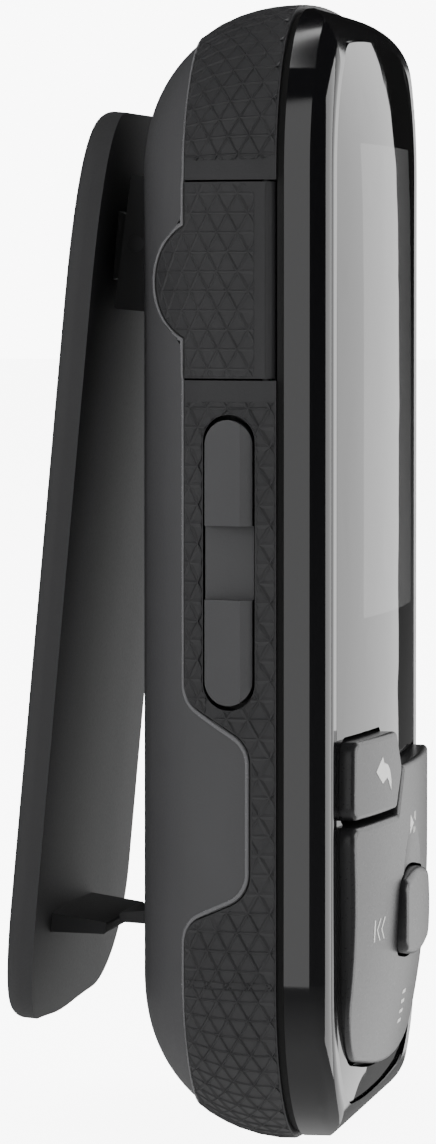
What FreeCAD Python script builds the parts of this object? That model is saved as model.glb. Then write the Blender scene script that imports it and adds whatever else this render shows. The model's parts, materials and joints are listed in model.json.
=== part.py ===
import FreeCAD, Part
import math
import os
from FreeCAD import Placement, Rotation, Vector

# Clip-on digital audio player. Units are millimetres.
# X is the user's right when facing the screen, -Y is the screen side, +Y the clip side, Z is up.
# Sizes below are measured from a datum near the foot of the body. Every part is moved by -ORIGIN when it
# is written, so the finished object stands on Z = 0 with its middle over the origin.

# ---------------------------------------------------------------- driving dimensions
WIDTH = 40.0
LOW = -0.9                 # foot of the body, measured from the datum
HIGH = 66.9                # top of the body
CORNER = 10.0              # corner radius of the front view
CROWN = 160.0              # radius of the slightly arched top and bottom edges
BACK_Y = 3.75              # flat back of the rear shell
REAR_ROUND = 8.9           # rounding from the sides to the back
WALL = 1.2
SHELL_STEP = 0.12          # the rear shell sits this much below the rubber grip
SPLIT_Y = 0.2              # rear shell meets the grip band
GRIP_FRONT_Y = -5.5
BEZEL_REAR_Y = -5.95
BEZEL_FRONT_Y = -8.7
BEZEL_EDGE = 1.25          # front edge rounding of the bezel at the sides
BEZEL_TOP_ROUND = 4.0      # side-view rounding of the bezel's top
BEZEL_FOOT_ROUND = 2.7     # and of its foot

LENS_HALF_W = 17.4
LENS_LOW = 1.2
LENS_HIGH = 64.75
LENS_CORNER = 7.6
LENS_EDGE_Y = -8.65
LENS_RISE = 1.15           # how far the middle of the lens stands in front of its edge
LENS_END_DROP = 0.4        # the lens bends back towards its top and bottom ends
LENS_THICK = 1.2
SEAM = 0.1
GASKET_T = 0.12
LEDGE_Y = LENS_EDGE_Y + LENS_END_DROP + LENS_THICK + GASKET_T + 0.03   # ledge that carries the lens

PAD_FACE_Y = -10.95        # front of the navigation pad in the middle
PAD_HALF_W = 16.0
PAD_FOOT_Z = 15.5          # below this the pad curls back
PAD_FOOT_DROP = 2.2
PAD_DROP = 1.2             # how far its sides fall back
KEY_GAP = 0.25             # gap round each front key
KEY_FLANGE_Y = -6.95       # front of the flanges that hold the keys in
KEY_FLANGE_T = 0.35
KEY_FLANGE_OUT = 0.6
THROAT_Y = -7.65           # behind this the keys are narrow enough to pass the ledge
SELECT_Z = 12.1
SELECT_HALF_W = 5.0
SELECT_HALF_H = 2.65
SELECT_FACE_Y = -11.45
END_DOMES = [(0, 18.4), (0, 5.8)]
SIDE_DOMES = [(-10.5, SELECT_Z), (10.5, SELECT_Z)]
BACK_DOME = (-10.5, 21.0)
SPREADER_Y = -6.38

BOARD_FRONT_Y = -5.2
BOARD_T = 1.0
BOARD_REAR_Y = BOARD_FRONT_Y + BOARD_T
MAT_FRONT_Y = -6.0
MAT_T = 0.4

LOBE_FRONT_Y = -3.93       # side tongues of the rear shell reach forward to here
LOBE_LOW = 12.75
LOBE_HIGH = 25.9
LOBE_LOW_SLOPE = 1.85      # rise of a tongue's lower and upper edge as it curves out
LOBE_HIGH_SLOPE = 2.5

COVER_LOW = 44.7
COVER_HIGH = 56.1
COVER_FRONT_Y = -5.4
TAB_Z = 50.3
TAB_R = 3.57
TAB_REACH = 2.0            # the thumb tab reaches this far into the rear shell
COVER_T = 1.0
COVER_AXIS = Vector(-19.42, -4.85, 0)
COVER_KNUCKLE_R = 0.55

ROCKER_Z = 34.0
ROCKER_HALF_H = 8.3
ROCKER_Y = -2.65
ROCKER_HALF_W = 1.45
ROCKER_OUT_X = 20.45
ROCKER_PIN_X = 18.0
POWER_Z = 34.0
POWER_HALF_H = 4.2

JACK_Z = 50.3
JACK_Y = -2.1
JACK_R = 1.8
JACK_END_X = 9.4           # bottom of the plug's hole
USB_Z = 50.4
USB_Y = -2.7

ORIGIN = Vector(0, 0.5, LOW)    # middle of the depth, foot of the body
CLIP_TILT = 5.2            # degrees, the clip leans away from the body downwards
CLIP_PIN_Y = 4.95
CLIP_PIN_Z = 52.6
CLIP_PIN_R = 0.5
CLIP_LUG_R = 1.1
CLIP_HALF_W = 16.0
CLIP_THICK = 1.6
CLIP_EDGE_ROUND = 0.9
CLIP_BOW = 0.8             # how far the middle of the clip bows outwards
CLIP_RIM_N = 0.87          # inner rim to pin axis, square to the plate
CLIP_TOP = 7.8             # plate above the pin, along the plate
CLIP_BOTTOM = 47.45       # plate below the pin, along the plate
CLIP_TOP_CORNER = 11.0
CLIP_END_CORNER = 7.2
EAR_IN = 5.2
EAR_OUT = 7.2
LUG_IN = 3.0
LUG_OUT = 4.9
SPRING_R = 1.0
SPRING_WIRE = 0.4
CLIP_TOOTH_Z = 11.5        # the clip's rib closes tip to tip on the body's rib
CLIP_TOOTH = 3.5
CLIP_TOOTH_HALF_W = 6.8
BODY_TOOTH_Z = 11.65
BODY_TOOTH = 2.95

LCD_HALF_W = 12.3
LCD_LOW = 28.4
LCD_HIGH = 60.0
LCD_FRONT_Y = -7.7


# ---------------------------------------------------------------- helpers
def box(x0, x1, y0, y1, z0, z1):
    return Part.makeBox(x1 - x0, y1 - y0, z1 - z0, Vector(x0, y0, z0))


def cylinder(centre, radius, direction, length):
    return Part.makeCylinder(radius, length, centre, direction)


def cylinder_x(x0, x1, y, z, radius):
    return Part.makeCylinder(radius, x1 - x0, Vector(x0, y, z), Vector(1, 0, 0))


def cylinder_y(x, z, y0, y1, radius):
    return Part.makeCylinder(radius, y1 - y0, Vector(x, y0, z), Vector(0, 1, 0))


def mirrored(shape):
    return shape.mirror(Vector(0, 0, 0), Vector(1, 0, 0))


def fuse_all(shapes):
    whole = shapes[0]
    for shape in shapes[1:]:
        whole = whole.fuse(shape)
    return whole.removeSplitter()


def rounded_polygon(corners):
    """Closed flat wire from (u, v, radius) corners, in the XZ plane at Y = 0."""
    count = len(corners)
    starts = []
    ends = []
    mids = []
    for i in range(count):
        u, v, radius = corners[i]
        here = Vector(u, 0, v)
        before = Vector(corners[i - 1][0], 0, corners[i - 1][1]) - here
        after = Vector(corners[(i + 1) % count][0], 0, corners[(i + 1) % count][1]) - here
        before.normalize()
        after.normalize()
        half = before.getAngle(after) / 2
        cut = radius / math.tan(half)
        inward = before + after
        inward.normalize()
        starts.append(here + before * cut)
        ends.append(here + after * cut)
        mids.append(here + inward * (radius / math.sin(half) - radius))
    edges = []
    for i in range(count):
        if corners[i][2] > 0:
            edges.append(Part.Arc(starts[i], mids[i], ends[i]).toShape())
        following = starts[(i + 1) % count]
        if ends[i].distanceToPoint(following) > 1e-6:
            edges.append(Part.makeLine(ends[i], following))
    return Part.Wire(edges)


def front_prism(wire, y0, y1):
    """Solid with the wire's outline in front view, from y0 back to y1."""
    face = Part.Face(wire)
    face.translate(Vector(0, y0, 0))
    return face.extrude(Vector(0, y1 - y0, 0))


def side_prism(corners, x0, x1):
    """Solid with (y, z, radius) corners in side view, from x0 to x1."""
    face = Part.Face(rounded_polygon(corners))
    face.rotate(Vector(0, 0, 0), Vector(0, 0, 1), 90)
    face.translate(Vector(x0, 0, 0))
    return face.extrude(Vector(x1 - x0, 0, 0))


def crowned_outline(half_w, low, high, corner, crown):
    """Rounded rectangle whose top and bottom edges are slightly arched, all tangent."""
    reach = math.sqrt((crown - corner) ** 2 - (half_w - corner) ** 2)
    edges = []
    for sign, edge_z in ((1, high), (-1, low)):
        crown_z = edge_z - sign * crown
        corner_z = crown_z + sign * reach
        lean = math.atan2(half_w - corner, reach)
        touch = Vector(crown * math.sin(lean), 0, crown_z + sign * crown * math.cos(lean))
        half_turn = (math.pi / 2 + lean) / 2
        mid = Vector(half_w - corner + corner * math.sin(half_turn), 0,
                     corner_z + sign * corner * math.cos(half_turn))
        side = Vector(half_w, 0, corner_z)
        left = [Vector(-p.x, 0, p.z) for p in (side, mid, touch)]
        edges.append(Part.Arc(left[0], left[1], left[2]).toShape())
        edges.append(Part.Arc(left[2], Vector(0, 0, edge_z), touch).toShape())
        edges.append(Part.Arc(touch, mid, side).toShape())
        if sign > 0:
            top_side = side
        else:
            edges.append(Part.makeLine(side, top_side))
            edges.append(Part.makeLine(Vector(-side.x, 0, side.z), Vector(-top_side.x, 0, top_side.z)))
    return Part.Wire(Part.__sortEdges__(edges))


def body_slab(inset, y0, y1):
    wire = crowned_outline(WIDTH / 2 - inset, LOW + inset, HIGH - inset, CORNER - inset, CROWN - inset)
    return front_prism(wire, y0, y1)


def body_form(inset, y0):
    """Pebble form of the body, rounded at the back and cut square at y0."""
    back = BACK_Y - inset
    slab = body_slab(inset, BEZEL_FRONT_Y, back)
    rear_edges = [e for e in slab.Edges if e.BoundBox.YMin > back - 1e-3]
    rounded = slab.makeFillet(REAR_ROUND - inset, rear_edges)
    return rounded.common(box(-30, 30, y0, 30, -5, 80))


def lens_outline(inset):
    return crowned_outline(LENS_HALF_W - inset, LENS_LOW + inset, LENS_HIGH - inset,
                           LENS_CORNER - inset, CROWN)


def lens_y(x, z):
    """Front surface of the lens: a shallow pillow."""
    across = (x / (LENS_HALF_W + 0.4)) ** 2
    middle = (HIGH + LOW) / 2
    along = abs((z - middle) / (HIGH - middle - 1.4))
    return LENS_EDGE_Y - LENS_RISE * (1 - across) * (1 - along ** 6) + LENS_END_DROP * along ** 8


def pad_y(x, z):
    """Front surface of the navigation pad: flatter than the lens, curling back at its foot."""
    foot = max(0.0, PAD_FOOT_Z - z) / PAD_FOOT_Z
    return PAD_FACE_Y + PAD_DROP * (x / PAD_HALF_W) ** 2 + PAD_FOOT_DROP * foot ** 2.2


def select_y(x, z):
    return SELECT_FACE_Y + 0.12 * (x / SELECT_HALF_W) ** 2 + 0.1 * ((z - SELECT_Z) / SELECT_HALF_H) ** 2


def domed_block(surface_y, half_w, z0, z1, depth):
    """Solid whose front follows surface_y(x, z), depth thick."""
    columns = 17
    rows = 25
    grid = []
    for i in range(columns):
        x = -half_w + 2 * half_w * i / (columns - 1)
        line = []
        for j in range(rows):
            z = z0 + (z1 - z0) * j / (rows - 1)
            line.append(Vector(x, surface_y(x, z), z))
        grid.append(line)
    surface = Part.BSplineSurface()
    surface.interpolate(grid)
    return surface.toShape().extrude(Vector(0, depth, 0))


def pad_outline(out):
    corners = [(16.3, 21.2, 2.2), (-3.7, 21.2, 0.4), (-5.6, 18.35, 0.5), (-16.6, 18.35, 0.9),
               (-15.6, 4.6, 4.6), (0, 2.55, 60), (15.6, 4.6, 4.6)]
    return offset_wire(rounded_polygon(corners), out)


def back_outline(out):
    corners = [(-16.5, 23.4, 1.0), (-6.1, 23.4, 0.5), (-4.35, 21.1, 0.5), (-6.1, 18.75, 0.5),
               (-16.6, 18.75, 0.8)]
    return offset_wire(rounded_polygon(corners), out)


def select_outline(out):
    w = SELECT_HALF_W
    h = SELECT_HALF_H
    z = SELECT_Z
    corners = [(w, z + h * 0.8, 1.1), (0, z + h * 1.05, 20), (-w, z + h * 0.8, 1.1),
               (-w * 1.05, z, 6), (-w, z - h * 0.8, 1.1), (0, z - h * 1.05, 20),
               (w, z - h * 0.8, 1.1), (w * 1.05, z, 6)]
    return offset_wire(rounded_polygon(corners), out)


def offset_wire(wire, out):
    if abs(out) < 1e-6:
        return wire
    return wire.makeOffset2D(out)


def pill(half_h, half_w, y, z, x0, x1):
    """Upright pill in side view."""
    r = half_w - 0.01
    corners = [(y - half_w, z - half_h, r), (y + half_w, z - half_h, r),
               (y + half_w, z + half_h, r), (y - half_w, z + half_h, r)]
    return side_prism(corners, x0, x1)


def lobe_prism(out, x0, x1):
    """Side tongue of the rear shell in side view, grown by out."""
    low = LOBE_LOW - out
    high = LOBE_HIGH + out
    front = LOBE_FRONT_Y - out
    corners = [(5.0, low - 3, 0), (SPLIT_Y, low - 3, 0), (SPLIT_Y, low, 1.6), (front, low + LOBE_LOW_SLOPE, 2.0),
               (front, high - LOBE_HIGH_SLOPE, 2.0), (SPLIT_Y, high, 1.6), (SPLIT_Y, high + 3, 0),
               (5.0, high + 3, 0)]
    return side_prism(corners, x0, x1)


def cover_prism(out, x0, x1):
    """Port cover in side view: a rectangle with a round thumb tab at the rear, grown by out."""
    plate = side_prism([(COVER_FRONT_Y, COVER_LOW - out, 0), (SPLIT_Y + out, COVER_LOW - out, 0),
                        (SPLIT_Y + out, COVER_HIGH + out, 0), (COVER_FRONT_Y, COVER_HIGH + out, 0)], x0, x1)
    tab = cylinder_x(x0, x1, SPLIT_Y + TAB_REACH - TAB_R, TAB_Z, TAB_R + out)
    return plate.fuse(tab.common(box(x0, x1, COVER_FRONT_Y, 30, 0, 70)))


# ---------------------------------------------------------------- housing
def rear_shell():
    outer = body_form(SHELL_STEP, SPLIT_Y)
    lobes = body_form(SHELL_STEP, LOBE_FRONT_Y).common(lobe_prism(0, 14, 30))
    lobes = lobes.fuse(mirrored(lobes))
    shell = outer.fuse(lobes)
    shell = shell.cut(body_form(SHELL_STEP + WALL, BEZEL_FRONT_Y))
    shell = shell.cut(cover_prism(0.15, -30, -14))
    lip = Part.makeCone(TAB_R + 0.1, TAB_R + 1.1, 1.2, Vector(-17.3, SPLIT_Y + TAB_REACH - TAB_R, TAB_Z),
                        Vector(-1, 0, 0))
    shell = shell.cut(lip.common(box(-30, -14, SPLIT_Y, 5, 44, 56)))
    inside = body_form(SHELL_STEP + 0.5, BOARD_REAR_Y)
    for x, z in boss_places():
        shell = shell.fuse(cylinder_y(x, z, BOARD_REAR_Y, BACK_Y, 1.5).common(inside))
        shell = shell.cut(cylinder_y(x, z, BOARD_REAR_Y - 1, BOARD_REAR_Y + 4.0, 0.62))
    shell = fuse_all([shell, body_tooth(), jack_rim()])
    return shell.cut(jack_bore()).cut(bracket_base(0.02, 1.0))


def boss_places():
    return [(14.8, 25.0), (-14.8, 25.0), (10.5, 61.9), (-10.5, 61.9)]


def body_tooth():
    """Rib on the back that meets the clip's rib and bites the cloth."""
    root = BACK_Y - SHELL_STEP - 0.2
    tip = BACK_Y + BODY_TOOTH
    return side_prism([(root, BODY_TOOTH_Z - 0.5, 0), (tip, BODY_TOOTH_Z - 0.3, 0.15),
                       (tip, BODY_TOOTH_Z + 0.3, 0.15), (root, BODY_TOOTH_Z + 0.5, 0)], -3, 3)


def jack_rim():
    """Boss in the rear shell's right side that takes the plug's collar."""
    block = cylinder_x(17.0, 20.0, JACK_Y, JACK_Z, 3.0)
    return block.common(body_form(SHELL_STEP, BEZEL_FRONT_Y))


def jack_bore():
    return cylinder_x(16.0, 22.0, JACK_Y, JACK_Z, JACK_R)


def grip_band():
    band = body_form(0, GRIP_FRONT_Y).cut(box(-30, 30, SPLIT_Y, 30, -5, 80))
    band = band.cut(body_form(WALL, BEZEL_FRONT_Y))
    right_lobe = lobe_prism(0.06, 14, 30)
    band = band.cut(right_lobe)
    band = band.cut(mirrored(right_lobe))
    band = band.cut(cover_prism(0.12, -30, -14).cut(box(-30, -10, -30, COVER_FRONT_Y + 0.5, 0, 70)))
    band = band.cut(cylinder(Vector(COVER_AXIS.x, COVER_AXIS.y, COVER_LOW - 0.12), COVER_KNUCKLE_R + 0.12,
                             Vector(0, 0, 1), COVER_HIGH - COVER_LOW + 0.24))
    band = band.cut(box(-30, COVER_AXIS.x, COVER_AXIS.y - 0.72, SPLIT_Y, COVER_LOW - 0.12, COVER_HIGH + 0.12))
    band = band.cut(pill(ROCKER_HALF_H + 0.3, ROCKER_HALF_W + 0.15, ROCKER_Y, ROCKER_Z, -30, -14))
    band = band.cut(pill(POWER_HALF_H + 0.15, ROCKER_HALF_W + 0.15, ROCKER_Y, POWER_Z, 14, 30))
    band = band.cut(rocker_pin())
    return band.cut(cylinder_x(14, 30, JACK_Y, JACK_Z, 3.06))


def housing_gasket():
    ring = body_slab(0.45, BEZEL_REAR_Y, GRIP_FRONT_Y)
    return ring.cut(body_slab(WALL, BEZEL_REAR_Y, GRIP_FRONT_Y))


def front_bezel():
    slab = body_slab(0.1, BEZEL_FRONT_Y, BEZEL_REAR_Y)
    front_edges = [e for e in slab.Edges if e.BoundBox.YMax < BEZEL_FRONT_Y + 1e-3]
    bezel = slab.makeFillet(BEZEL_EDGE, front_edges)
    ends = side_prism([(BEZEL_FRONT_Y, LOW + 0.1, BEZEL_FOOT_ROUND), (10, LOW + 0.1, 0),
                       (10, HIGH - 0.1, 0), (BEZEL_FRONT_Y, HIGH - 0.1, BEZEL_TOP_ROUND)], -30, 30)
    bezel = bezel.common(ends)
    bezel = bezel.cut(front_prism(lens_outline(-SEAM), -12, LEDGE_Y))
    bezel = bezel.cut(front_prism(lens_outline(1.1), -12, BEZEL_REAR_Y))
    tongues = [box(-3, 3, BEZEL_REAR_Y - 0.3, -4.9, HIGH - 2.3, HIGH - 1.35),
               box(-3, 3, BEZEL_REAR_Y - 0.3, -4.9, LOW + 1.35, LOW + 2.3)]
    return fuse_all([bezel] + tongues)


def display_lens():
    lens = domed_block(lens_y, 21, LOW - 2, HIGH + 2, LENS_THICK)
    lens = lens.common(front_prism(lens_outline(0), -14, 0))
    keys = pad_outline(KEY_GAP)
    lens = lens.cut(front_prism(keys, -14, 0))
    return lens.cut(front_prism(back_outline(KEY_GAP), -14, 0))


def lens_gasket():
    """Thin adhesive frame between the lens and the ledge of the bezel."""
    ring = front_prism(lens_outline(0.15), LEDGE_Y - GASKET_T, LEDGE_Y)
    return ring.cut(front_prism(lens_outline(1.0), -12, 0))


# ---------------------------------------------------------------- display and electronics
def lcd_panel():
    return box(-LCD_HALF_W, LCD_HALF_W, LCD_FRONT_Y, LCD_FRONT_Y + 0.7, LCD_LOW, LCD_HIGH)


def lcd_frame():
    """Tray with the light guide, behind the panel and round its edge."""
    y0 = LCD_FRONT_Y + 0.2
    tray = box(-LCD_HALF_W - 0.5, LCD_HALF_W + 0.5, y0, LCD_FRONT_Y + 2.1, LCD_LOW - 0.5, LCD_HIGH + 0.5)
    return tray.cut(box(-LCD_HALF_W - 0.02, LCD_HALF_W + 0.02, y0, LCD_FRONT_Y + 0.72,
                        LCD_LOW - 0.02, LCD_HIGH + 0.02))


def lcd_flex():
    """Flat cable from the foot of the display to the board."""
    rear = LCD_FRONT_Y + 2.1
    down = box(-5, 5, rear, rear + 0.15, LCD_LOW - 3.2, LCD_LOW + 2)
    into = box(-5, 5, rear, BOARD_FRONT_Y, LCD_LOW - 3.2, LCD_LOW - 3.05)
    return fuse_all([down, into])


def main_board():
    board = front_prism(crowned_outline(16.4, 3.4, 63.1, 7.5, CROWN), BOARD_FRONT_Y, BOARD_REAR_Y)
    for x, z in boss_places():
        board = board.cut(cylinder_y(x, z, -8, 0, 0.85))
    board = board.cut(box(-30, -15.6, -8, 0, ROCKER_Z - 9, ROCKER_Z + 9))
    return board.cut(box(15.6, 30, -8, 0, POWER_Z - 5, POWER_Z + 5))


def chip(x, z, width, height, thick):
    return box(x - width / 2, x + width / 2, BOARD_REAR_Y, BOARD_REAR_Y + thick, z - height / 2, z + height / 2)


def shield_can():
    can = chip(2.5, 53.2, 11, 9, 1.5)
    return can.cut(chip(2.5, 53.2, 10.6, 8.6, 1.3))


def board_screws():
    screws = []
    for x, z in boss_places():
        head = cylinder_y(x, z, BOARD_FRONT_Y - 0.6, BOARD_FRONT_Y, 1.15)
        shank = cylinder_y(x, z, BOARD_FRONT_Y - 0.1, BOARD_FRONT_Y + 4.6, 0.6)
        slot = box(x - 0.8, x + 0.8, BOARD_FRONT_Y - 0.7, BOARD_FRONT_Y - 0.3, z - 0.15, z + 0.15)
        cross = box(x - 0.15, x + 0.15, BOARD_FRONT_Y - 0.7, BOARD_FRONT_Y - 0.3, z - 0.8, z + 0.8)
        screws.append(head.fuse(shank).removeSplitter().cut(slot).cut(cross))
    return Part.makeCompound(screws)


def battery_cell():
    cell = box(-12.3, 12.3, -3.5, 1.0, 7.5, 43.5)
    edges = [e for e in cell.Edges if abs(e.tangentAt(e.FirstParameter).z) > 0.9]
    return cell.makeFillet(1.8, edges)


def battery_pad():
    return box(-9, 9, 1.0, BACK_Y - SHELL_STEP - WALL, 12, 39)


def battery_tabs():
    """Two nickel tabs from the cell to the board."""
    tabs = []
    for x in (-6.5, -3.5):
        flat = box(x - 0.9, x + 0.9, BOARD_REAR_Y, BOARD_REAR_Y + 0.15, 43.5, 45.5)
        tabs.append(flat.fuse(box(x - 0.9, x + 0.9, BOARD_REAR_Y, -2.5, 43.5, 43.65)).removeSplitter())
    return Part.makeCompound(tabs)


def usb_socket():
    """Five-contact micro socket shell, open to the left."""
    shell = box(-16.9, -11.6, USB_Y - 1.45, USB_Y + 1.25, USB_Z - 3.9, USB_Z + 3.9)
    mouth = box(-17.5, -12.1, USB_Y - 1.15, USB_Y + 0.95, USB_Z - 3.6, USB_Z + 3.6)
    blade = box(-15.9, -11.9, USB_Y - 0.5, USB_Y - 0.1, USB_Z - 2.4, USB_Z + 2.4)
    return fuse_all([shell.cut(mouth), blade])


def headphone_socket():
    block = box(8.4, 16.8, BOARD_REAR_Y, 0.7, JACK_Z - 3.3, JACK_Z + 3.3)
    block = block.common(body_form(SHELL_STEP + WALL + 0.05, BEZEL_FRONT_Y))
    return block.cut(cylinder_x(JACK_END_X, 18, JACK_Y, JACK_Z, JACK_R))


def dome_places():
    return [(0, SELECT_Z), BACK_DOME] + END_DOMES + SIDE_DOMES


def dome_sheet():
    """Carrier film with a metal snap dome under each key."""
    sheet = box(-14.6, 14.6, BOARD_FRONT_Y - 0.1, BOARD_FRONT_Y, 4.4, 22.6)
    domes = []
    for x, z in dome_places():
        cap = Part.makeSphere(6.5, Vector(x, BOARD_FRONT_Y + 6.15, z))
        domes.append(cap.common(cylinder_y(x, z, BOARD_FRONT_Y - 0.4, BOARD_FRONT_Y - 0.05, 1.9)))
    return fuse_all([sheet] + domes)


def key_mat():
    """Silicone sheet between the keys and the domes, with a thin bellows rim."""
    mat = box(-15.2, 15.2, MAT_FRONT_Y, MAT_FRONT_Y + MAT_T, 4.0, 23.4)
    edges = [e for e in mat.Edges if abs(e.tangentAt(e.FirstParameter).y) > 0.9]
    mat = mat.makeFillet(2.5, edges)
    rim_front = MAT_FRONT_Y + MAT_T
    rim = box(-14.2, -13.4, rim_front, BOARD_FRONT_Y - 0.1, 8, 18)
    return fuse_all([mat, rim, mirrored(rim)])


# ---------------------------------------------------------------- keys
def on_surface(edge, surface_y):
    for share in (0.2, 0.8):
        span = edge.LastParameter - edge.FirstParameter
        p = edge.valueAt(edge.FirstParameter + share * span)
        if abs(p.y - surface_y(p.x, p.z)) > 0.02:
            return False
    return True


def lens_window():
    """Room inside the bezel's ledge."""
    return front_prism(lens_outline(1.4), -14, 0)


def nav_pad():
    """Four-way pad; its two side bosses reach the mat, the upper and lower ones rest on the spreader."""
    flange_rear = KEY_FLANGE_Y + KEY_FLANGE_T
    cap = domed_block(pad_y, 18, 0, 23, 8).common(front_prism(pad_outline(0), -14, THROAT_Y))
    cap = cap.makeFillet(0.35, [e for e in cap.Edges if on_surface(e, pad_y)])
    throat = front_prism(pad_outline(0), THROAT_Y - 0.1, flange_rear)
    flange = front_prism(pad_outline(KEY_FLANGE_OUT), KEY_FLANGE_Y, flange_rear)
    flange = flange.cut(front_prism(back_outline(0.9), -14, 0))
    pad = fuse_all([cap, throat.common(lens_window()), flange.common(lens_window())])
    pad = pad.cut(Part.makeSphere(40, Vector(0, PAD_FACE_Y - 40 + 0.35, SELECT_Z)))
    pad = pad.cut(front_prism(select_outline(0.2), -14, 0))
    pad = pad.cut(front_prism(select_outline(1.05), KEY_FLANGE_Y - 0.7, 0))
    for x, z in SIDE_DOMES:
        pad = pad.fuse(cylinder_y(x, z, flange_rear - 0.1, MAT_FRONT_Y - 0.38, 1.2))
    for x, z in END_DOMES:
        pad = pad.fuse(cylinder_y(x, z, flange_rear - 0.1, SPREADER_Y - 0.05, 1.2))
    return pad.removeSplitter()


def pad_spreader():
    """Spring-steel ring under the pad: it tips up and down with the pad, which rocks sideways on it."""
    ring = rounded_polygon([(7.1, 19.8, 1.5), (-7.1, 19.8, 1.5), (-7.1, 4.4, 1.5), (7.1, 4.4, 1.5)])
    plate = front_prism(ring, SPREADER_Y, SPREADER_Y + 0.1)
    plate = plate.cut(front_prism(select_outline(1.05), -14, 0))
    return plate.cut(front_prism(back_outline(0.3), -14, 0))


def select_key():
    cap = domed_block(select_y, 7, 7, 17.5, 8)
    cap = cap.common(front_prism(select_outline(0), -14, KEY_FLANGE_Y + 0.1))
    cap = cap.makeFillet(0.4, [e for e in cap.Edges if on_surface(e, select_y)])
    flange = front_prism(select_outline(0.7), KEY_FLANGE_Y, KEY_FLANGE_Y + KEY_FLANGE_T)
    nub = cylinder_y(0, SELECT_Z, KEY_FLANGE_Y, MAT_FRONT_Y - 0.4, 1.2)
    return fuse_all([cap, flange, nub])


def back_key():
    cap = domed_block(pad_y, 18, 15, 26, 8)
    cap = cap.common(front_prism(back_outline(0), -14, THROAT_Y))
    cap = cap.makeFillet(0.3, [e for e in cap.Edges if on_surface(e, pad_y)])
    throat = front_prism(back_outline(0), THROAT_Y - 0.1, KEY_FLANGE_Y + KEY_FLANGE_T)
    shelf = front_prism(rounded_polygon([(-15.9, 23.9, 0.3), (-6.4, 23.9, 0.3), (-6.4, 19.6, 0.3),
                                         (-15.9, 19.6, 0.3)]), KEY_FLANGE_Y, KEY_FLANGE_Y + KEY_FLANGE_T)
    nub = cylinder_y(BACK_DOME[0], BACK_DOME[1], KEY_FLANGE_Y, MAT_FRONT_Y - 0.4, 1.2)
    return fuse_all([cap, throat.common(lens_window()), shelf.common(lens_window()), nub])


def volume_rocker():
    """Pill rocker: two raised roof-shaped halves and a flat middle."""
    pill_body = pill(ROCKER_HALF_H, ROCKER_HALF_W, ROCKER_Y, ROCKER_Z, -21, -17.6)
    ridge_y = -3.45
    roof = [(ROCKER_Y - 1.7, 17.4), (ROCKER_Y - 1.7, 19.75), (ridge_y, ROCKER_OUT_X),
            (ROCKER_Y + 1.7, 19.2), (ROCKER_Y + 1.7, 17.4)]
    points = [Vector(-x, y, 20) for y, x in roof]
    profile = Part.Face(Part.makePolygon(points + points[:1]))
    key = profile.extrude(Vector(0, 0, 30)).common(pill_body)
    valley = [(ROCKER_Y - 2, 19.3), (ROCKER_Y + 2, 18.95), (ROCKER_Y + 2, 22), (ROCKER_Y - 2, 22)]
    points = [Vector(-x, y, ROCKER_Z - 2.15) for y, x in valley]
    key = key.cut(Part.Face(Part.makePolygon(points + points[:1])).extrude(Vector(0, 0, 4.3)))
    web = box(-17.8, -17.3, ROCKER_Y - 2.0, ROCKER_Y + 2.0, ROCKER_Z - 8.6, ROCKER_Z + 8.6)
    key = key.fuse(web.common(body_form(WALL + 0.5, BEZEL_FRONT_Y)))
    hub = cylinder(Vector(-ROCKER_PIN_X, ROCKER_Y - 1.2, ROCKER_Z), 0.9, Vector(0, 1, 0), 2.4)
    key = key.fuse(hub)
    pin_hole = cylinder(Vector(-ROCKER_PIN_X, ROCKER_Y - 3, ROCKER_Z), 0.44, Vector(0, 1, 0), 6)
    return key.removeSplitter().cut(pin_hole)


def rocker_pin():
    return cylinder(Vector(-ROCKER_PIN_X, ROCKER_Y - 2.2, ROCKER_Z), 0.4, Vector(0, 1, 0), 4.4)


def side_plunger(x, z):
    return cylinder_x(x, x + 0.9, ROCKER_Y, z, 0.55)


def rocker_plungers():
    return Part.makeCompound([side_plunger(-17.28, ROCKER_Z - 5.5), side_plunger(-17.28, ROCKER_Z + 5.5)])


def side_switches():
    """Three identical push switches on the edges of the board."""
    bodies = []
    for side, z in ((-1, ROCKER_Z - 5.5), (-1, ROCKER_Z + 5.5), (1, POWER_Z)):
        switch = box(-16.75, -14.95, ROCKER_Y - 1.2, ROCKER_Y + 1.2, z - 1.7, z + 1.7)
        switch = switch.cut(cylinder_x(-17, -15.6, ROCKER_Y, z, 0.85))
        bodies.append(switch if side < 0 else mirrored(switch))
    return Part.makeCompound(bodies)


def power_key():
    pill_body = pill(POWER_HALF_H, ROCKER_HALF_W, ROCKER_Y, POWER_Z, -21, -17.6)
    roof = [(ROCKER_Y - 1.7, 17.4), (ROCKER_Y - 1.7, 19.75), (-3.45, ROCKER_OUT_X),
            (ROCKER_Y + 1.7, 19.2), (ROCKER_Y + 1.7, 17.4)]
    points = [Vector(-x, y, 20) for y, x in roof]
    key = Part.Face(Part.makePolygon(points + points[:1])).extrude(Vector(0, 0, 30)).common(pill_body)
    web = box(-17.8, -17.3, ROCKER_Y - 2.0, ROCKER_Y + 2.0, POWER_Z - 4.6, POWER_Z + 4.6)
    return mirrored(key.fuse(web.common(body_form(WALL + 0.35, BEZEL_FRONT_Y))).removeSplitter())


def power_plunger():
    return mirrored(side_plunger(-17.28, POWER_Z))


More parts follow.
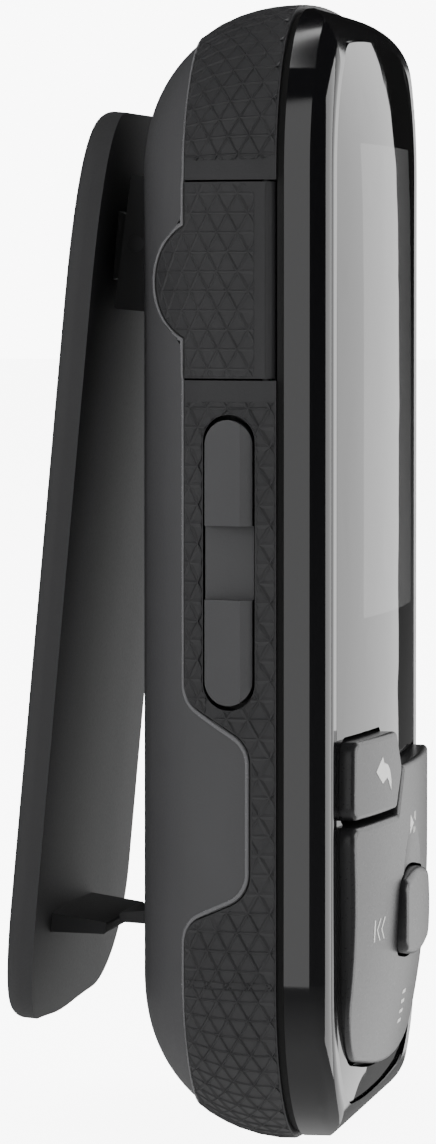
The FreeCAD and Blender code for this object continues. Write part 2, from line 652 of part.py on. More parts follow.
# ---------------------------------------------------------------- port cover
def port_cover():
    front = COVER_AXIS.y
    skin = body_form(0, BEZEL_FRONT_Y).cut(body_form(COVER_T, BEZEL_FRONT_Y))
    cover = skin.common(cover_prism(0, -30, -14)).cut(box(-30, -10, -30, front, 0, 70))
    knuckle = cylinder(Vector(COVER_AXIS.x, COVER_AXIS.y, COVER_LOW), COVER_KNUCKLE_R, Vector(0, 0, 1),
                       COVER_HIGH - COVER_LOW)
    plug = box(-18.4, -17.2, USB_Y - 0.9, USB_Y + 0.9, USB_Z - 3.2, USB_Z + 3.2)
    cover = fuse_all([cover, knuckle, plug])
    hole = cylinder(Vector(COVER_AXIS.x, COVER_AXIS.y, COVER_LOW - 1), 0.29, Vector(0, 0, 1), 14)
    return cover.cut(hole)


def cover_pin():
    return cylinder(Vector(COVER_AXIS.x, COVER_AXIS.y, COVER_LOW - 0.12), 0.25, Vector(0, 0, 1),
                    COVER_HIGH - COVER_LOW + 0.24)


# ---------------------------------------------------------------- clip
def clip_place():
    """From the clip's own axes (pin axis at the origin, Z up along the plate, Y outwards) to the row's."""
    return Placement(Vector(0, CLIP_PIN_Y, CLIP_PIN_Z), Rotation(Vector(1, 0, 0), CLIP_TILT))


def bow_radius():
    return (CLIP_HALF_W ** 2 + CLIP_BOW ** 2) / (2 * CLIP_BOW)


def clip_arm():
    radius = bow_radius()
    centre_y = CLIP_RIM_N + CLIP_BOW - radius
    tube = Part.makeCylinder(radius + CLIP_THICK, 70, Vector(0, centre_y, -60), Vector(0, 0, 1))
    tube = tube.cut(Part.makeCylinder(radius, 70, Vector(0, centre_y, -60), Vector(0, 0, 1)))
    corners = [(CLIP_HALF_W, CLIP_TOP, CLIP_TOP_CORNER), (-CLIP_HALF_W, CLIP_TOP, CLIP_TOP_CORNER),
               (-CLIP_HALF_W, 1.0 - CLIP_BOTTOM, CLIP_END_CORNER), (0, -CLIP_BOTTOM, 50),
               (CLIP_HALF_W, 1.0 - CLIP_BOTTOM, CLIP_END_CORNER)]
    plate = tube.common(front_prism(rounded_polygon(corners), 0, 9))
    outer = [e for e in plate.Edges if radius + CLIP_THICK - 0.02 < rim_distance(e, centre_y)]
    plate = plate.makeFillet(CLIP_EDGE_ROUND, outer)
    floor_n = CLIP_RIM_N + CLIP_BOW
    r = CLIP_LUG_R
    lug = side_prism([(-r, -r, r - 0.05), (floor_n + 0.6, -2.6, 0), (floor_n + 0.6, 2.0, 0),
                      (-r, r, r - 0.05)], LUG_IN, LUG_OUT)
    t = (CLIP_TOOTH_Z - CLIP_PIN_Z) / math.cos(math.radians(CLIP_TILT))
    tip = floor_n - CLIP_TOOTH
    rib = side_prism([(floor_n + 0.3, t - 0.6, 0), (floor_n + 0.3, t + 0.6, 0),
                      (tip, t + 0.34, 0.15), (tip, t - 0.36, 0.15)],
                     -CLIP_TOOTH_HALF_W, CLIP_TOOTH_HALF_W)
    arm = fuse_all([plate, lug, mirrored(lug), rib])
    arm = arm.cut(cylinder_x(-10, 10, 0, 0, CLIP_PIN_R + 0.05))
    arm.Placement = clip_place()
    return arm


def rim_distance(edge, centre_y):
    """Nearest distance of an edge from the axis of the bow."""
    distances = []
    for share in (0.0, 0.5, 1.0):
        p = edge.valueAt(edge.FirstParameter + share * (edge.LastParameter - edge.FirstParameter))
        distances.append(math.hypot(p.x, p.y - centre_y))
    return min(distances)


def bracket_base(grow, height):
    """Base of the bracket, let into the back of the rear shell."""
    y0 = BACK_Y - 0.6 - grow
    return box(-EAR_OUT - grow, EAR_OUT + grow, y0, y0 + 0.48 + height, CLIP_PIN_Z - 4.2 - grow,
               CLIP_PIN_Z + 4.3 + grow)


def clip_bracket():
    """Two ears for the clip's pin on a base plate."""
    ear = side_prism([(-4.0, -4.0, 0), (0.95, -4.0, 0.15), (0.65, 4.1, 0.15), (-4.0, 4.1, 0)], EAR_IN, EAR_OUT)
    ear.Placement = clip_place()
    ear = ear.cut(box(-20, 20, -20, BACK_Y - 0.5, 0, 70))
    bracket = fuse_all([ear, mirrored(ear), bracket_base(0, 0)])
    return bracket.cut(cylinder_x(-10, 10, CLIP_PIN_Y, CLIP_PIN_Z, CLIP_PIN_R))


def clip_pin():
    return cylinder_x(-EAR_OUT + 0.1, EAR_OUT - 0.1, CLIP_PIN_Y, CLIP_PIN_Z, CLIP_PIN_R)


def clip_spring():
    """Torsion spring round the pin, drawn as the coil's own sleeve with its two legs."""
    coil = cylinder_x(-2.4, 2.4, 0, 0, SPRING_R).cut(cylinder_x(-3, 3, 0, 0, CLIP_PIN_R + 0.08))
    floor_n = CLIP_RIM_N + CLIP_BOW
    wire = SPRING_WIRE / 2
    leg = cylinder(Vector(2.1, SPRING_R - wire, 0), wire, Vector(0, floor_n - SPRING_R - 0.1, 5.0), 5.0)
    coil.Placement = clip_place()
    leg.Placement = clip_place()
    foot = cylinder(Vector(-2.1, CLIP_PIN_Y - SPRING_R + wire, CLIP_PIN_Z), wire, Vector(0, 0, -1), 3.9)
    return fuse_all([coil, leg, foot])


NODES = {
    "rear_shell": rear_shell,
    "grip_band": grip_band,
    "housing_gasket": housing_gasket,
    "front_bezel": front_bezel,
    "display_lens": display_lens,
    "lens_gasket": lens_gasket,
    "lcd_panel": lcd_panel,
    "lcd_frame": lcd_frame,
    "lcd_flex": lcd_flex,
    "main_board": main_board,
    "processor_chip": lambda: chip(2.5, 53.2, 7, 7, 0.9),
    "memory_chip": lambda: chip(-7.5, 49.2, 5.5, 6.5, 0.9),
    "shield_can": shield_can,
    "radio_antenna": lambda: chip(0, 61.8, 9, 1.2, 1.0),
    "board_screws": board_screws,
    "battery_cell": battery_cell,
    "battery_pad": battery_pad,
    "battery_tabs": battery_tabs,
    "usb_socket": usb_socket,
    "headphone_socket": headphone_socket,
    "dome_sheet": dome_sheet,
    "key_mat": key_mat,
    "side_switches": side_switches,
    "nav_pad": nav_pad,
    "pad_spreader": pad_spreader,
    "select_key": select_key,
    "back_key": back_key,
    "volume_rocker": volume_rocker,
    "rocker_pin": rocker_pin,
    "rocker_plungers": rocker_plungers,
    "power_key": power_key,
    "power_plunger": power_plunger,
    "port_cover": port_cover,
    "cover_pin": cover_pin,
    "clip_bracket": clip_bracket,
    "clip_arm": clip_arm,
    "clip_pin": clip_pin,
    "clip_spring": clip_spring,
}

os.makedirs("parts", exist_ok=True)
whole = FreeCAD.BoundBox()
for name, make in NODES.items():
    solid = make().translated(-ORIGIN)
    solid.exportStep("parts/" + name + ".step")
    whole.add(solid.BoundBox)
    print(name, "solids", len(solid.Solids), "valid", solid.isValid(), "volume", round(solid.Volume, 2))
print("box", whole)
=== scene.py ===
import math

import bpy
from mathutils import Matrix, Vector
from mathutils.bvhtree import BVHTree
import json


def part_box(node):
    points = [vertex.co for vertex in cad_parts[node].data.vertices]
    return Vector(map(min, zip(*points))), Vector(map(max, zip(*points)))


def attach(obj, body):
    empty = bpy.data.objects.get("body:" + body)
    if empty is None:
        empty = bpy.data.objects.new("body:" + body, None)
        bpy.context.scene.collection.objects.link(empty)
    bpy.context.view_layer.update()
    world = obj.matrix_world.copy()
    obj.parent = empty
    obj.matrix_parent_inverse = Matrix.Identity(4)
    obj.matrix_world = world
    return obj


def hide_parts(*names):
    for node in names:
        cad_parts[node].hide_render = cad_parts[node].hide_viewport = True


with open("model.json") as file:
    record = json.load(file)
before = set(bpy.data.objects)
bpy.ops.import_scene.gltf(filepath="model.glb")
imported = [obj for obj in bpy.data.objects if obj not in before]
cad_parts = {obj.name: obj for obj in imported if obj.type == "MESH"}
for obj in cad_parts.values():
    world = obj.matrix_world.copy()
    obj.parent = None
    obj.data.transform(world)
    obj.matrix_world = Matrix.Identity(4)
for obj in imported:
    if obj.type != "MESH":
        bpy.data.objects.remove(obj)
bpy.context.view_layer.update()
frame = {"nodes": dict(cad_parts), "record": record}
NODES = frame["nodes"]
MM = 0.001

# Frame: X to the user's right, Y from the screen to the clip, Z up, foot at zero.
TARGET = Vector((0, 0.60, 33.5)) * MM
CAMERA_FAR = 0.4
CAMERA_TURN = math.radians(9.1)      # in front of a straight side view
CAMERA_RISE = math.radians(2.52)
CAMERA_LENS = 206.0                  # mm, on a frame 36 mm high

# Millimetres in that frame.
WINDOW_HALF_W = 10.8       # clear window of the lens
WINDOW_HALF_H = 14.05
WINDOW_Z = 45.35
HALF_W = 20.0              # outline of the body
TOP = 67.8
CORNER = 10.0
FLAT_END_Y = -5.65         # the body's wall is square to the front up to here, then rounds off
REAR_ROUND = 8.9
SPLIT_Y = -0.30            # grip band in front, rear shell behind
TONGUE_Y = -4.43
TAB_Y = -1.87
TAB_Z = 51.2
TAB_R = 3.63

BORDER_GREY = 0.004        # printed border of the lens
DISPLAY_GREY = 0.10        # switched-off display behind it


# ---------------------------------------------------------------- materials
def shader(name):
    material = bpy.data.materials.new(name)
    material.use_nodes = True
    tree = material.node_tree
    return material, tree, tree.nodes["Principled BSDF"]


def node(tree, kind, inputs=(), **settings):
    made = tree.nodes.new(kind)
    for key, value in settings.items():
        setattr(made, key, value)
    for key, value in dict(inputs).items():
        if hasattr(value, "links"):
            tree.links.new(value, made.inputs[key])
        else:
            made.inputs[key].default_value = value
    return made


def place(tree, scale=1.0):
    coords = node(tree, "ShaderNodeTexCoord")
    return node(tree, "ShaderNodeVectorMath", {0: coords.outputs["Object"], "Scale": scale},
                operation="SCALE").outputs[0]


def surface(name, color, rough, metal=0.0, grain=0.0, grain_size=0.15, mottle=0.15, coat=0.0,
            specular=0.5, spread=0.08):
    """Principled finish with a fine moulded grain, grain_size in mm, and a slow uneven tone."""
    material, tree, principled = shader(name)
    where = place(tree, 1.0)
    slow = node(tree, "ShaderNodeTexNoise", {"Vector": where, "Scale": 220.0, "Detail": 3.0})
    tone = node(tree, "ShaderNodeMapRange", {"Value": slow.outputs[0], "To Min": 1.0 - mottle,
                                             "To Max": 1.0 + mottle})
    tint = node(tree, "ShaderNodeVectorMath", {0: tuple(color), "Scale": tone.outputs[0]},
                operation="SCALE")
    tree.links.new(tint.outputs[0], principled.inputs["Base Color"])
    fine = node(tree, "ShaderNodeTexNoise", {"Vector": where, "Scale": 1.0 / (grain_size * MM),
                                             "Detail": 2.0})
    shine = node(tree, "ShaderNodeMapRange", {"Value": fine.outputs[0], "To Min": max(0.0, rough - spread),
                                              "To Max": rough + spread})
    tree.links.new(shine.outputs[0], principled.inputs["Roughness"])
    if grain:
        bump = node(tree, "ShaderNodeBump", {"Height": fine.outputs[0], "Strength": grain,
                                             "Distance": 0.02 * MM})
        tree.links.new(bump.outputs[0], principled.inputs["Normal"])
    principled.inputs["Metallic"].default_value = metal
    principled.inputs["Coat Weight"].default_value = coat
    principled.inputs["Specular IOR Level"].default_value = specular
    return material


FINISH = {
    "shell_plastic": surface("shell_plastic", (0.046, 0.046, 0.048), 0.45, grain=0.5, mottle=0.06),
    "grip_rubber": surface("grip_rubber", (0.024, 0.024, 0.0253), 0.52, grain=0.4),
    "gasket_rubber": surface("gasket_rubber", (0.010, 0.010, 0.010), 0.7),
    "bezel_gloss": surface("bezel_gloss", (0.004, 0.004, 0.0045), 0.07, mottle=0.05, spread=0.01),
    "adhesive": surface("adhesive", (0.02, 0.02, 0.02), 0.8, grain=0.6),
    "lcd_glass": surface("lcd_glass", (0.6, 0.6, 0.61), 0.5, mottle=0.02, spread=0.02),
    "white_frame": surface("white_frame", (0.75, 0.75, 0.73), 0.5, mottle=0.04),
    "flex_amber": surface("flex_amber", (0.45, 0.22, 0.05), 0.35, mottle=0.1),
    "board_green": surface("board_green", (0.02, 0.13, 0.06), 0.4, mottle=0.2, coat=0.3),
    "chip_black": surface("chip_black", (0.02, 0.02, 0.022), 0.6, grain=0.6),
    "tin_shield": surface("tin_shield", (0.62, 0.62, 0.60), 0.32, metal=1.0),
    "ceramic": surface("ceramic", (0.8, 0.79, 0.74), 0.6, mottle=0.05),
    "zinc_steel": surface("zinc_steel", (0.55, 0.56, 0.58), 0.35, metal=1.0),
    "cell_foil": surface("cell_foil", (0.72, 0.72, 0.74), 0.35, metal=1.0, grain=0.8, grain_size=0.6),
    "foam_black": surface("foam_black", (0.03, 0.03, 0.03), 0.9, grain=1.0),
    "nickel": surface("nickel", (0.6, 0.58, 0.54), 0.25, metal=1.0),
    "socket_black": surface("socket_black", (0.02, 0.02, 0.02), 0.45),
    "dome_film": surface("dome_film", (0.7, 0.7, 0.72), 0.25, mottle=0.05),
    "silicone": surface("silicone", (0.5, 0.5, 0.5), 0.5, mottle=0.05),
    "key_plastic": surface("key_plastic", (0.018, 0.018, 0.019), 0.30, grain=0.15, mottle=0.05),
    "spring_steel": surface("spring_steel", (0.5, 0.5, 0.52), 0.3, metal=1.0),
    "pin_steel": surface("pin_steel", (0.03, 0.03, 0.032), 0.45),
    # Lighter copy of the shell plastic for the shell's edge bead: a painted highlight where the edge catches
    # the light
    "lip_painted_highlight": surface("lip_painted_highlight", (0.10, 0.10, 0.104), 0.25, mottle=0.05),
    "clip_plastic": surface("clip_plastic", (0.029, 0.029, 0.030), 0.62, grain=0.5, mottle=0.06,
                            specular=0.3),
}


def lens_finish():
    """Polished pane bonded to the display: dark grey in the clear window, black in the border."""
    material, tree, principled = shader("lens_clear")
    split = node(tree, "ShaderNodeSeparateXYZ", {0: place(tree, 1000.0)})
    sideways = node(tree, "ShaderNodeMath", {0: split.outputs["X"]}, operation="ABSOLUTE")
    across = node(tree, "ShaderNodeMath", {0: sideways.outputs[0], 1: WINDOW_HALF_W}, operation="LESS_THAN")
    shift = node(tree, "ShaderNodeMath", {0: split.outputs["Z"], 1: WINDOW_Z}, operation="SUBTRACT")
    upward = node(tree, "ShaderNodeMath", {0: shift.outputs[0]}, operation="ABSOLUTE")
    along = node(tree, "ShaderNodeMath", {0: upward.outputs[0], 1: WINDOW_HALF_H}, operation="LESS_THAN")
    inside = node(tree, "ShaderNodeMath", {0: across.outputs[0], 1: along.outputs[0]}, operation="MULTIPLY")
    level = node(tree, "ShaderNodeMapRange", {"Value": inside.outputs[0], "To Min": BORDER_GREY,
                                              "To Max": DISPLAY_GREY})
    tint = node(tree, "ShaderNodeCombineXYZ", {0: level.outputs[0], 1: level.outputs[0], 2: level.outputs[0]})
    tree.links.new(tint.outputs[0], principled.inputs["Base Color"])
    principled.inputs["Roughness"].default_value = 0.02
    return material


FINISH["lens_clear"] = lens_finish()

slots = {part["node"]: part["material_slot"] for part in frame["record"]["subparts"]}
for name, obj in NODES.items():
    obj.data.materials.clear()
    obj.data.materials.append(FINISH[slots[name]])
    for polygon in obj.data.polygons:
        polygon.material_index = 0


# ---------------------------------------------------------------- fine shapes on the body
def skin_tree(*names):
    corners = []
    faces = []
    for name in names:
        mesh = NODES[name].data
        start = len(corners)
        corners += [v.co.copy() for v in mesh.vertices]
        faces += [[start + i for i in p.vertices] for p in mesh.polygons]
    return BVHTree.FromPolygons(corners, faces)


SIDE = TOP - 2 * CORNER
ACROSS = 2 * (HALF_W - CORNER)
TURN = math.pi / 2 * CORNER
PERIMETER = 2 * (SIDE + ACROSS) + 4 * TURN


def ring(s):
    """Point and outward direction in the XZ plane, s mm clockwise along the outline from the lower left."""
    s %= PERIMETER
    x, z, out = -HALF_W, CORNER, math.pi
    for length in (SIDE, ACROSS, SIDE, ACROSS):
        ahead = out - math.pi / 2
        if s <= length:
            return x + s * math.cos(ahead), z + s * math.sin(ahead), out
        x += length * math.cos(ahead) - CORNER * math.cos(out)
        z += length * math.sin(ahead) - CORNER * math.sin(out)
        s -= length
        if s <= TURN:
            out -= s / CORNER
            return x + CORNER * math.cos(out), z + CORNER * math.sin(out), out
        s -= TURN
        out -= math.pi / 2
        x += CORNER * math.cos(out)
        z += CORNER * math.sin(out)
    return x, z, out


def skin(tree, s, t):
    """(point, outward direction, squareness) on the body.

    t is the distance in mm back along the wall from where it rounds off. Squareness is 1 where the
    surface faces straight out, and less over a gap or an edge.
    """
    x, z, out = ring(s)
    lean = max(0.0, t) / REAR_ROUND
    inset = REAR_ROUND * (1 - math.cos(lean))
    y = FLAT_END_Y + (REAR_ROUND * math.sin(lean) if t > 0 else t)
    away = Vector((math.cos(out) * math.cos(lean), math.sin(lean), math.sin(out) * math.cos(lean)))
    nominal = Vector((x - math.cos(out) * inset, y, z - math.sin(out) * inset))
    hit, normal, _, _ = tree.ray_cast((nominal + away * 3) * MM, -away, 4.2 * MM)
    if hit is None:
        return nominal * MM, away, 0.0
    return hit, away, normal.dot(away)


def wall(y):
    """Distance back along the wall of a depth y."""
    return REAR_ROUND * math.asin((y - FLAT_END_Y) / REAR_ROUND) if y > FLAT_END_Y else y - FLAT_END_Y


def mesh_piece(name, corners, faces, finish, body, smooth=False):
    mesh = bpy.data.meshes.new(name)
    mesh.from_pydata(corners, [], faces)
    mesh.update()
    obj = bpy.data.objects.new(name, mesh)
    bpy.context.scene.collection.objects.link(obj)
    mesh.materials.append(FINISH[finish])
    for polygon in mesh.polygons:
        polygon.use_smooth = smooth
    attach(obj, body)
    return obj


def raise_frame(corners, faces, points, aways, lifts):
    """Adds one cell of the net to a mesh's lists: a rim along its outline sloping down to the skin inside."""
    middle = sum(points, Vector()) / len(points)
    turn = (points[1] - points[0]).cross(points[2] - points[1])
    if turn.dot(aways[0]) < 0:
        points = points[::-1]
        aways = aways[::-1]
        lifts = lifts[::-1]
    start = len(corners)
    count = len(points)
    reach = sum((p - middle).length for p in points) / count
    slope = min(0.8, 2 * RIDGE_HALF_W * MM / reach)
    corners += [p - a * 0.05 * MM for p, a in zip(points, aways)]
    corners += [p + a * lift * MM for p, a, lift in zip(points, aways, lifts)]
    corners += [p.lerp(middle, slope) - a * 0.012 * MM for p, a in zip(points, aways)]
    faces.append([start + i for i in reversed(range(count))])
    faces.append([start + 2 * count + i for i in range(count)])
    for i in range(count):
        j = (i + 1) % count
        faces.append([start + i, start + j, start + count + j, start + count + i])
        faces.append([start + count + i, start + count + j, start + 2 * count + j, start + 2 * count + i])


TRIANGLE_SIDE = 1.305
ROW_STEP = 1.13
RIDGE_HALF_W = 0.13
MARGIN = 0.1
CUT_LIFT = 0.7             # a ridge's height where the part's edge cuts it
SQUARE = 0.96              # least squareness of a spot that can carry the pattern
SMALLEST_TILE = 0.05       # square mm
GRIP_RISE = 0.1            # height of the triangles
COVER_RISE = 0.075
EDGE_STEP = 0.5


def in_region(tree, plain, s, t):
    """Whether (s, t) is on the part and outside its plain patches, each (s0, s1, t0, t1)."""
    if any(s0 < s < s1 and t0 < t < t1 for s0, s1, t0, t1 in plain):
        return False
    spots = ((0, 0), (MARGIN, 0), (-MARGIN, 0), (0, MARGIN), (0, -MARGIN))
    return all(skin(tree, s + a, t + b)[2] > SQUARE for a, b in spots)


def clip_tile(tree, plain, tile):
    """The part of a triangle that lies in the region, as (s, t, share of the full height)."""
    inside = [in_region(tree, plain, s, t) for s, t in tile]
    if not any(inside):
        return []
    kept = []
    for i, here in enumerate(tile):
        after = tile[(i + 1) % len(tile)]
        if inside[i]:
            kept.append((here[0], here[1], 1))
        if inside[i] != inside[(i + 1) % len(tile)]:
            good, bad = (here, after) if inside[i] else (after, here)
            for _ in range(6):
                half = ((good[0] + bad[0]) / 2, (good[1] + bad[1]) / 2)
                if in_region(tree, plain, *half):
                    good = half
                else:
                    bad = half
            if kept and kept[-1][2] == CUT_LIFT:
                kept.append(((kept[-1][0] + good[0]) / 2, (kept[-1][1] + good[1]) / 2, 0))
            kept.append((good[0], good[1], CUT_LIFT))
    if kept[0][2] == CUT_LIFT == kept[-1][2]:
        kept.append(((kept[-1][0] + kept[0][0]) / 2, (kept[-1][1] + kept[0][1]) / 2, 0))
    return kept


def flat_area(tile):
    return abs(sum(a[0] * b[1] - b[0] * a[1] for a, b in zip(tile, tile[1:] + tile[:1]))) / 2


def triangles(name, node_name, body, s_range, t_range, plain, rise):
    """Moulded pattern of low triangles over one rubber part."""
    tree = skin_tree(node_name)
    corners = []
    faces = []
    for row in range(math.floor(s_range[0] / ROW_STEP), math.ceil(s_range[1] / ROW_STEP)):
        for column in range(math.floor(t_range[0] / TRIANGLE_SIDE), math.ceil(t_range[1] / TRIANGLE_SIDE)):
            t = (column + 0.5 * (row % 2)) * TRIANGLE_SIDE
            s = row * ROW_STEP
            half = TRIANGLE_SIDE / 2
            up = [(s, t), (s, t + 2 * half), (s + ROW_STEP, t + half)]
            down = [(s + ROW_STEP, t + half), (s + ROW_STEP, t + 3 * half), (s, t + 2 * half)]
            for tile in (up, down):
                tile = clip_tile(tree, plain, tile)
                if len(tile) < 3 or flat_area(tile) < SMALLEST_TILE:
                    continue
                spots = [skin(tree, p[0], p[1]) for p in tile]
                raise_frame(corners, faces, [p[0] for p in spots], [p[1] for p in spots],
                            [rise * p[2] for p in tile])
    return mesh_piece(name, corners, faces, "grip_rubber", body)


def rounded_path(corners, steps=7):
    """Points along straight runs joined by arcs, from (u, v, radius) corners."""
    path = [Vector(corners[0][:2])]
    for before, (u, v, radius), after in zip(corners, corners[1:], corners[2:]):
        here = Vector((u, v))
        back = (Vector(before[:2]) - here).normalized()
        ahead = (Vector(after[:2]) - here).normalized()
        half = back.angle(ahead) / 2
        if radius == 0 or half > 1.56:
            path.append(here)
            continue
        cut = radius / math.tan(half)
        centre = here + (back + ahead).normalized() * (radius / math.sin(half))
        first = here + back * cut - centre
        last = here + ahead * cut - centre
        for i in range(steps + 1):
            way = first.lerp(last, i / steps)
            path.append(centre + way.normalized() * radius)
    path.append(Vector(corners[-1][:2]))
    return path


def even_path(path, step):
    """The same path round the whole body, with points about one step apart."""
    points = []
    for a, b in zip(path, path[1:] + [path[0] + Vector((PERIMETER, 0))]):
        count = max(1, round((b - a).length / step))
        points += [a.lerp(b, i / count) for i in range(count)]
    return points


def ridge(name, tree, path, shift, wide, rise, finish, body):
    """Low rounded bead along a path of (s, t) points, moved sideways by shift."""
    count = len(path)
    profile = [(-0.5, -0.5), (-0.36, 0.7), (0.0, 1.0), (0.36, 0.7), (0.5, -0.5)]
    corners = []
    faces = []
    for i, p in enumerate(path):
        before = path[i - 1] if i else p
        after = path[i + 1] if i < count - 1 else p
        along = (after - before).normalized()
        side = Vector((-along.y, along.x))
        for offset, lift in profile:
            q = p + side * (shift + offset * wide)
            point, away, _ = skin(tree, q.x, q.y)
            corners.append(point + away * lift * rise * MM)
    wide_count = len(profile)
    for i in range(count):
        a = i * wide_count
        b = ((i + 1) % count) * wide_count
        for k in range(wide_count):
            m = (k + 1) % wide_count
            faces.append([a + k, a + m, b + m, b + k])
    return mesh_piece(name, corners, faces, finish, body, smooth=True)


def shell_edge():
    """Front edge of the rear shell as (s, t), all the way round: two tongues and the tab's notch."""
    notch = math.sqrt(TAB_R ** 2 - (SPLIT_Y - TAB_Y) ** 2)
    tongue = [(13.65, SPLIT_Y, 1.6), (15.5, TONGUE_Y, 2.0), (24.3, TONGUE_Y, 2.0), (26.8, SPLIT_Y, 1.6)]
    left = rounded_path([(CORNER, SPLIT_Y, 0)] + tongue + [(TAB_Z - notch, SPLIT_Y, 0)])
    low = math.atan2(SPLIT_Y - TAB_Y, -notch)
    high = math.atan2(SPLIT_Y - TAB_Y, notch)
    for i in range(1, 24):
        angle = low + (high - low) * i / 24
        left.append(Vector((TAB_Z + TAB_R * math.cos(angle), TAB_Y + TAB_R * math.sin(angle))))
    left += [Vector((TAB_Z + notch, SPLIT_Y)), Vector((TOP - CORNER, SPLIT_Y))]
    right = rounded_path([(CORNER, SPLIT_Y, 0)] + tongue + [(TOP - CORNER, SPLIT_Y, 0)])
    path = [Vector((z - CORNER, wall(y))) for z, y in left]
    far_side = SIDE + 2 * TURN + ACROSS
    path += [Vector((SIDE + (far_side - SIDE) * i / 40, wall(SPLIT_Y))) for i in range(1, 40)]
    path += [Vector((far_side + TOP - CORNER - z, wall(y))) for z, y in reversed(right)]
    foot = far_side + SIDE
    path += [Vector((foot + (PERIMETER - foot) * i / 40, wall(SPLIT_Y))) for i in range(1, 40)]
    return even_path(path, EDGE_STEP)


def body_details():
    t_range = (-1.0, 9.0)
    strips = [(34.25, 35.6, -1, 12), (47.0, 48.3, -1, 12)]
    hinge_edge = [(30, 55, -1, 0.95)]      # kept smooth, because it turns in close to the gasket
    triangles("grip_pattern", "grip_band", "housing", (0, PERIMETER), t_range, strips, GRIP_RISE)
    triangles("cover_pattern", "port_cover", "port_cover", (30, 55), t_range, hinge_edge, COVER_RISE)
    edge = shell_edge()
    tree = skin_tree("rear_shell", "grip_band")
    # The edge bead takes the lighter copy of the shell plastic, a painted highlight along the shell's edge
    ridge("shell_lip", tree, edge, 0.18, 0.30, 0.09, "lip_painted_highlight", "housing")
    ridge("shell_seam", tree, edge, 0.0, 0.12, 0.012, "gasket_rubber", "housing")


def print_on(name, outlines, node_name, body):
    """Thin white print on a front face, from closed outlines of (x, z) points."""
    tree = skin_tree(node_name)
    corners = []
    faces = []
    for outline in outlines:
        points = []
        for x, z in outline:
            hit = tree.ray_cast(Vector((x, -30, z)) * MM, Vector((0, 1, 0)), 0.06)[0]
            points.append(hit)
        start = len(corners)
        count = len(points)
        corners += [p + Vector((0, 0.02, 0)) * MM for p in points]
        corners += [p - Vector((0, 0.025, 0)) * MM for p in points]
        faces.append([start + i for i in range(count)])
        faces.append([start + count + i for i in reversed(range(count))])
        for i in range(count):
            j = (i + 1) % count
            faces.append([start + j, start + i, start + count + i, start + count + j])
    return mesh_piece(name, corners, faces, "white_frame", body)


def moved(outline, x, z, flip=1):
    return [(x + flip * u, z + v) for u, v in outline]


def key_prints():
    arc_out = [(2.0, -1.0), (1.95, -0.3), (1.6, 0.25), (1.0, 0.6), (0.2, 0.75)]
    arc_in = [(0.2, -0.05), (0.8, -0.15), (1.3, -0.4), (1.7, -0.75)]
    head = [(-0.3, 0.75), (-0.3, 1.15), (-1.9, 0.35), (-0.3, -0.45), (-0.3, -0.05)]
    arrow = head[::-1] + arc_in + arc_out
    print_on("back_print", [moved(arrow, -10.0, 21.9)], "back_key", "back_key")
    stroke = 0.22
    chevron = [(0.0, 0.0), (0.75, 0.65), (0.75 + stroke, 0.65), (stroke, 0.0),
               (0.75 + stroke, -0.65), (0.75, -0.65)]
    bar = [(0, -0.65), (0, 0.65), (stroke, 0.65), (stroke, -0.65)]
    play = [(-1.3, 0.6), (-1.3, -0.6), (0.0, 0.0)]
    marks = []
    for flip in (1, -1):
        x = -10.5 * flip
        marks.append(moved(bar, x - 1.5 * flip, 12.8, flip))
        marks.append(moved(chevron, x - 0.9 * flip, 12.8, flip))
        marks.append(moved(chevron, x + 0.2 * flip, 12.8, flip))
    marks.append(moved(play, 0, 18.3))
    marks.append(moved(bar, 0.35, 18.3))
    marks.append(moved(bar, 0.85, 18.3))
    for i in range(4):
        marks.append(moved([(-0.7, -0.11), (-0.7, 0.11), (0.7, 0.11), (0.7, -0.11)], 0, 6.2 + 0.6 * i))
    print_on("pad_print", marks, "nav_pad", "nav_pad")


def wire(name, points, radius, finish, body):
    """Round wire through points, in metres."""
    sides = 8
    corners = []
    faces = []
    count = len(points)
    for i, p in enumerate(points):
        along = (points[min(i + 1, count - 1)] - points[max(i - 1, 0)]).normalized()
        side = along.cross(Vector((1, 0, 0)) if abs(along.x) < 0.7 else Vector((0, 0, 1))).normalized()
        other = along.cross(side)
        for k in range(sides):
            angle = 2 * math.pi * k / sides
            corners.append(p + (side * math.cos(angle) + other * math.sin(angle)) * radius)
    for i in range(count - 1):
        for k in range(sides):
            m = (k + 1) % sides
            faces.append([i * sides + k, i * sides + m, (i + 1) * sides + m, (i + 1) * sides + k])
    faces.append([k for k in reversed(range(sides))])
    faces.append([(count - 1) * sides + k for k in range(sides)])
    return mesh_piece(name, corners, faces, finish, body, smooth=True)


def torsion_spring():
    """Wound wire round the clip's axle. One leg bears on the body and the other on the clip."""
    low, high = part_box("clip_spring")
    pin = Vector((0, 4.45, 53.5)) * MM
    radius = 0.82 * MM
    gauge = 0.17 * MM
    turns = 6
    half = min(-low.x, high.x) - gauge
    points = []
    for i in range(turns * 20 + 1):
        angle = 2 * math.pi * i / 20
        points.append(pin + Vector((-half + 2 * half * i / (turns * 20), -radius * math.cos(angle),
                                    -radius * math.sin(angle))))
    first = points[0] + Vector((0, -0.05, -4.0)) * MM
    coil = wire("spring_coil", [first] + points, gauge, "spring_steel", "housing")
    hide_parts("clip_spring")
    last = points[-1]
    turned = Vector((0, 1.5, -4.2)) * MM
    bend = Vector((0, 0.35, -0.9)) * MM
    wire("spring_leg", [last, last + bend, last + turned], gauge, "spring_steel", "clip")


body_details()
key_prints()
torsion_spring()


# ---------------------------------------------------------------- floor, light and camera
def panel(name, at, aim, wide, high, glow):
    """Rectangular studio lamp of even radiance glow."""
    data = bpy.data.lights.new(name, "AREA")
    data.shape = "RECTANGLE"
    data.size = wide
    data.size_y = high
    data.energy = glow * math.pi * wide * high
    lamp = bpy.data.objects.new(name, data)
    bpy.context.scene.collection.objects.link(lamp)
    lamp.location = at
    lamp.rotation_euler = (Vector(aim) - Vector(at)).to_track_quat("-Z", "Y").to_euler()
    return lamp


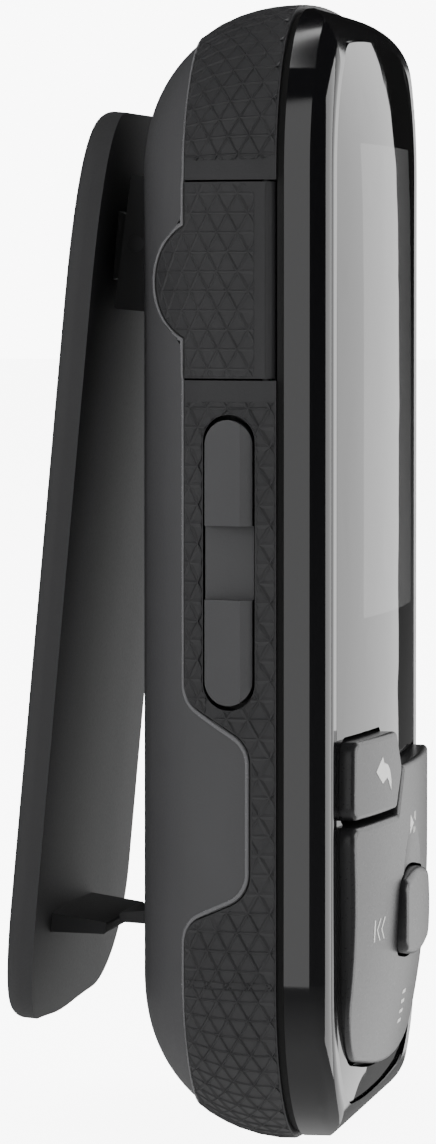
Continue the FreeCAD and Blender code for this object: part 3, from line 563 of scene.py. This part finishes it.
FLOOR_GLOW = 7.5           # seen by the camera only
BACKDROP_GLOW = 9.0        # seen by the camera only
AMBIENT = 0.7              # soft light from all round on matt surfaces


def studio():
    bpy.ops.mesh.primitive_plane_add(size=8.0)
    floor = bpy.context.object
    floor.name = "floor"
    floor.visible_glossy = False
    material = surface("floor_paper", (0.86, 0.86, 0.86), 0.9, mottle=0.01)
    tree = material.node_tree
    ray = node(tree, "ShaderNodeLightPath")
    glow = node(tree, "ShaderNodeMath", {0: ray.outputs["Is Camera Ray"], 1: FLOOR_GLOW},
                operation="MULTIPLY")
    principled = tree.nodes["Principled BSDF"]
    principled.inputs["Emission Color"].default_value = (1, 1, 1, 1)
    tree.links.new(glow.outputs[0], principled.inputs["Emission Strength"])
    floor.data.materials.append(material)
    world = bpy.data.worlds.new("studio")
    bpy.context.scene.world = world
    world.use_nodes = True
    tree = world.node_tree
    tree.nodes["Background"].inputs["Color"].default_value = (1, 1, 1, 1)
    ray = node(tree, "ShaderNodeLightPath")
    seen = node(tree, "ShaderNodeMath", {0: ray.outputs["Is Camera Ray"], 1: BACKDROP_GLOW},
                operation="MULTIPLY")
    soft = node(tree, "ShaderNodeMath", {0: ray.outputs["Is Diffuse Ray"], 1: AMBIENT}, operation="MULTIPLY")
    level = node(tree, "ShaderNodeMath", {0: seen.outputs[0], 1: soft.outputs[0]}, operation="ADD")
    where = node(tree, "ShaderNodeTexCoord")
    split = node(tree, "ShaderNodeSeparateXYZ", {0: where.outputs["Generated"]})
    below = node(tree, "ShaderNodeMapRange", {"Value": split.outputs["Z"], "From Min": 0.0,
                                              "From Max": -0.8, "To Min": 0.01, "To Max": 0.9})
    table = node(tree, "ShaderNodeMath", {0: level.outputs[0], 1: below.outputs[0]}, operation="ADD")
    tree.links.new(table.outputs[0], tree.nodes["Background"].inputs["Strength"])

    here = (0, 0, 0.034)
    near = math.radians(6.1)
    far = math.radians(47.0)
    x = 1.0
    y0 = -x * math.tan(near) - 0.01
    y1 = -x * math.tan(far)
    panel("lens_light", (x, (y0 + y1) / 2, 0.1), (0, (y0 + y1) / 2, 0.1), y0 - y1, 1.4, 1.45)
    panel("front_light", (0.34, -1.0, 0.1), (0.34, 0, 0.1), 1.0, 1.4, 4.5)
    panel("side_light", (-0.9, 0.144, 0.57), (0, 0.144, 0.57), 0.12, 1.46, 2.0)
    panel("top_strip", (0.4, 0.142, 1.0), (0.4, 0.141, 0.0), 1.2, 0.012, 5.0)
    key = panel("key_light", (-0.9, -0.2, 0.9), here, 0.7, 0.5, 0.9)
    fill = panel("top_light", (0.0, 0.1, 1.3), here, 1.2, 1.2, 1.6)
    rear = panel("rear_light", (-0.7, 0.9, 0.2), here, 0.8, 0.8, 5.2)
    for lamp in (key, fill, rear):
        lamp.visible_glossy = False


def camera():
    data = bpy.data.cameras.new("camera")
    data.sensor_fit = "VERTICAL"
    data.sensor_height = 36.0
    data.lens = CAMERA_LENS
    data.clip_start = 0.01
    eye = bpy.data.objects.new("camera", data)
    bpy.context.scene.collection.objects.link(eye)
    level = math.cos(CAMERA_RISE)
    away = Vector((-math.cos(CAMERA_TURN) * level, -math.sin(CAMERA_TURN) * level, math.sin(CAMERA_RISE)))
    eye.location = TARGET + away * CAMERA_FAR
    eye.rotation_euler = (-away).to_track_quat("-Z", "Y").to_euler()
    bpy.context.scene.camera = eye


studio()
camera()
